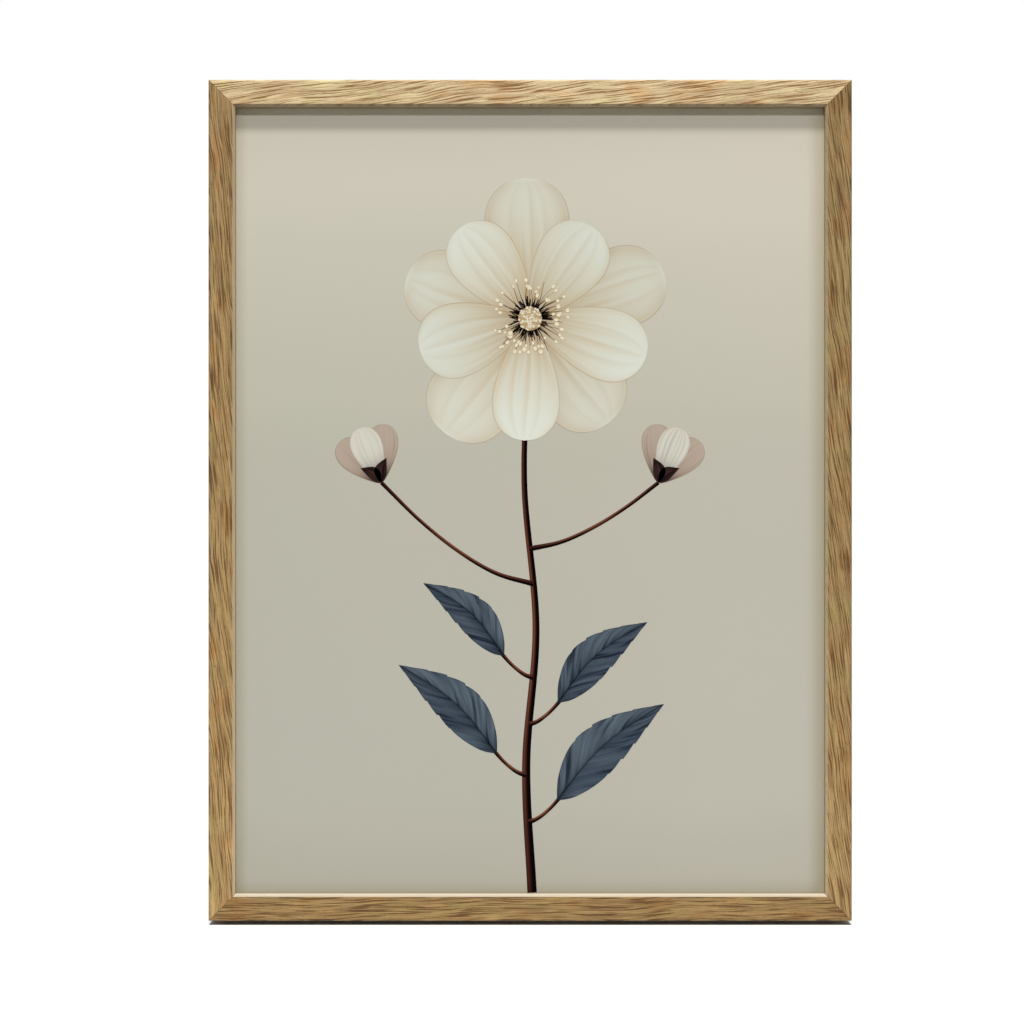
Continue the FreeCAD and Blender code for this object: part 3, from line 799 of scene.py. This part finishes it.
def disc(film, across, up, radius, rim, fill, lift, squash=1.0, turn=0.0):
    """A round spot: point (r, a) is r times (cos a, sin a), with a darker rim."""
    r = np.linspace(0.02, 1, 5)
    a = np.linspace(0, 2 * np.pi, 15)
    east = r[:, None] * np.cos(a)[None] * radius
    north = r[:, None] * np.sin(a)[None] * radius * squash
    flat = np.stack(
        [across + east * np.cos(turn) - north * np.sin(turn), up + east * np.sin(turn) + north * np.cos(turn)],
        axis=-1,
    )
    colour = tint(np.zeros(flat.shape[:2] + (3,)) + fill, rim, step_between(r[:, None] + 0 * a, 0.7, 1.0))
    film.add(flat, colour, lift)


def thread(film, angle, reach, thick, shade, lift, bend):
    """A thread from near the heart out to its reach, bent sideways in the middle; returns its tip."""
    ahead = np.array([math.cos(angle), math.sin(angle)])
    start = np.array(heart) + ahead * 1.5
    tip = np.array(heart) + ahead * reach
    side = np.array([-ahead[1], ahead[0]]) * bend * reach
    flat, s, _ = ribbon([start, (start + tip) / 2 + side, tip], [thick * 2.2, thick, thick * 0.6], 16, 3)
    colour = tint(np.zeros(s.shape + (3,)) + SOOT, shade, step_between(s, 0.15, 0.9))
    film.add(flat, colour, lift)
    return flat[-1, 1]


OLIVE = rgb(112, 92, 66)
GRAIN_RIM = rgb(166, 140, 100)
GRAIN = rgb(226, 217, 190)
HUSK = rgb(190, 164, 122)
HUSK_RIM = rgb(140, 112, 78)
for lap in range(80):
    angle = draw.uniform(0, 2 * np.pi)
    shade = (OLIVE, GOLD, UMBER)[lap % 3]
    reach, thick, bend = draw.uniform(12, 21), draw.uniform(0.26, 0.5), draw.uniform(-0.09, 0.09)
    end = thread(threads, angle, reach, thick, shade, 0.09, bend)
    if lap % 5 < 4:
        radius, squash = draw.uniform(0.9, 1.5), draw.uniform(0.6, 0.95)
        disc(grains, *end, radius, GRAIN_RIM, GRAIN, GRAIN_LIFT + lap * EACH_HIGHER, squash, angle)
for lap in range(90):
    reach, angle, bend = draw.uniform(6, 12), draw.uniform(0, 2 * np.pi), draw.uniform(-0.1, 0.1)
    thread(threads, angle, reach, 0.7, SOOT, 0.095, bend)
threads.finish(ink.material)

disc(grains, *heart, BOSS + 0.2, rgb(150, 124, 90), rgb(182, 158, 118), BOSS_LIFT)
for lap in range(150):
    angle = draw.uniform(0, 2 * np.pi)
    away = BOSS * math.sqrt(draw.uniform(0, 1))
    husk = HUSK if draw.uniform(0, 1) <= 0.3 else GRAIN
    spot = (heart[0] + away * math.cos(angle), heart[1] + away * math.sin(angle))
    disc(grains, *spot, draw.uniform(0.4, 0.85), HUSK_RIM, husk, BOSS_LIFT + 0.004 + lap * EACH_HIGHER)
grains.finish(ink.material)

# %% [markdown]
# ## Floor, light and camera
#
# The frame stands just clear of a pale floor, which leaves a thin dark line under it. A broad soft sun high in
# front throws the rail's shadow across the top of the print. A softbox lower down and the sky fill in the rest.

# %% The floor
floor_paint = Finish("pale floor", Base_Color=(0.86, 0.86, 0.86, 1.0), Roughness=0.9, Specular_IOR_Level=0.1)
floor_mesh = bpy.data.meshes.new("floor")
floor_reach = 0.3
below = -0.0023
across_floor = ((-1, -1), (1, -1), (1, 1), (-1, 1))
corners = [(x * floor_reach, y * floor_reach, below) for x, y in across_floor]
floor_mesh.from_pydata(corners, [], [(0, 1, 2, 3)])
floor_mesh.materials.append(floor_paint.material)
floor = bpy.data.objects.new("floor", floor_mesh)
bpy.context.collection.objects.link(floor)

# %% The light
sun_height = math.radians(69)
sun_light = bpy.data.lights.new("sun", "SUN")
sun_light.energy = 3.35
sun_light.angle = math.radians(7.5)
sun = bpy.data.objects.new("sun", sun_light)
sun.rotation_euler = (math.pi / 2 - sun_height, 0, 0)
bpy.context.collection.objects.link(sun)

softbox_light = bpy.data.lights.new("softbox", "AREA")
softbox_light.shape = "RECTANGLE"
softbox_light.size = 1.4
softbox_light.size_y = 0.5
softbox_light.energy = 8.6
softbox = bpy.data.objects.new("softbox", softbox_light)
softbox.location = (0, -1.4, 1.1)
softbox.rotation_euler = (math.radians(57.7), 0, 0)
bpy.context.collection.objects.link(softbox)

world = bpy.data.worlds.new("soft sky")
world.use_nodes = True
bpy.context.scene.world = world
tree = world.node_tree
backdrop = tree.nodes["Background"]
backdrop.inputs["Color"].default_value = (1.0, 1.0, 1.0, 1.0)
fill = tree.nodes.new("ShaderNodeBackground")
fill.inputs["Color"].default_value = (1.0, 1.0, 1.0, 1.0)
fill.inputs["Strength"].default_value = 0.31
ray = tree.nodes.new("ShaderNodeLightPath")
either = tree.nodes.new("ShaderNodeMixShader")
tree.links.new(ray.outputs["Is Camera Ray"], either.inputs[0])
tree.links.new(fill.outputs[0], either.inputs[1])
tree.links.new(backdrop.outputs[0], either.inputs[2])
tree.links.new(either.outputs[0], tree.nodes["World Output"].inputs["Surface"])

# %% The camera
frame_low, frame_high = cad_box
distance = 1.5
view_width = 0.5231
lens_of_sensor = bpy.data.cameras.new("camera")
lens_of_sensor.sensor_width = 36
lens_of_sensor.lens = 36 * distance / view_width
camera = bpy.data.objects.new("camera", lens_of_sensor)
aside = -0.0093
below_middle = 0.0060
camera.location = (aside, frame_low.y - distance, (frame_low.z + frame_high.z) / 2 - below_middle)
camera.rotation_euler = (math.pi / 2, 0, 0)
bpy.context.collection.objects.link(camera)
bpy.context.scene.camera = camera
bpy.context.scene.view_settings.view_transform = "Standard"
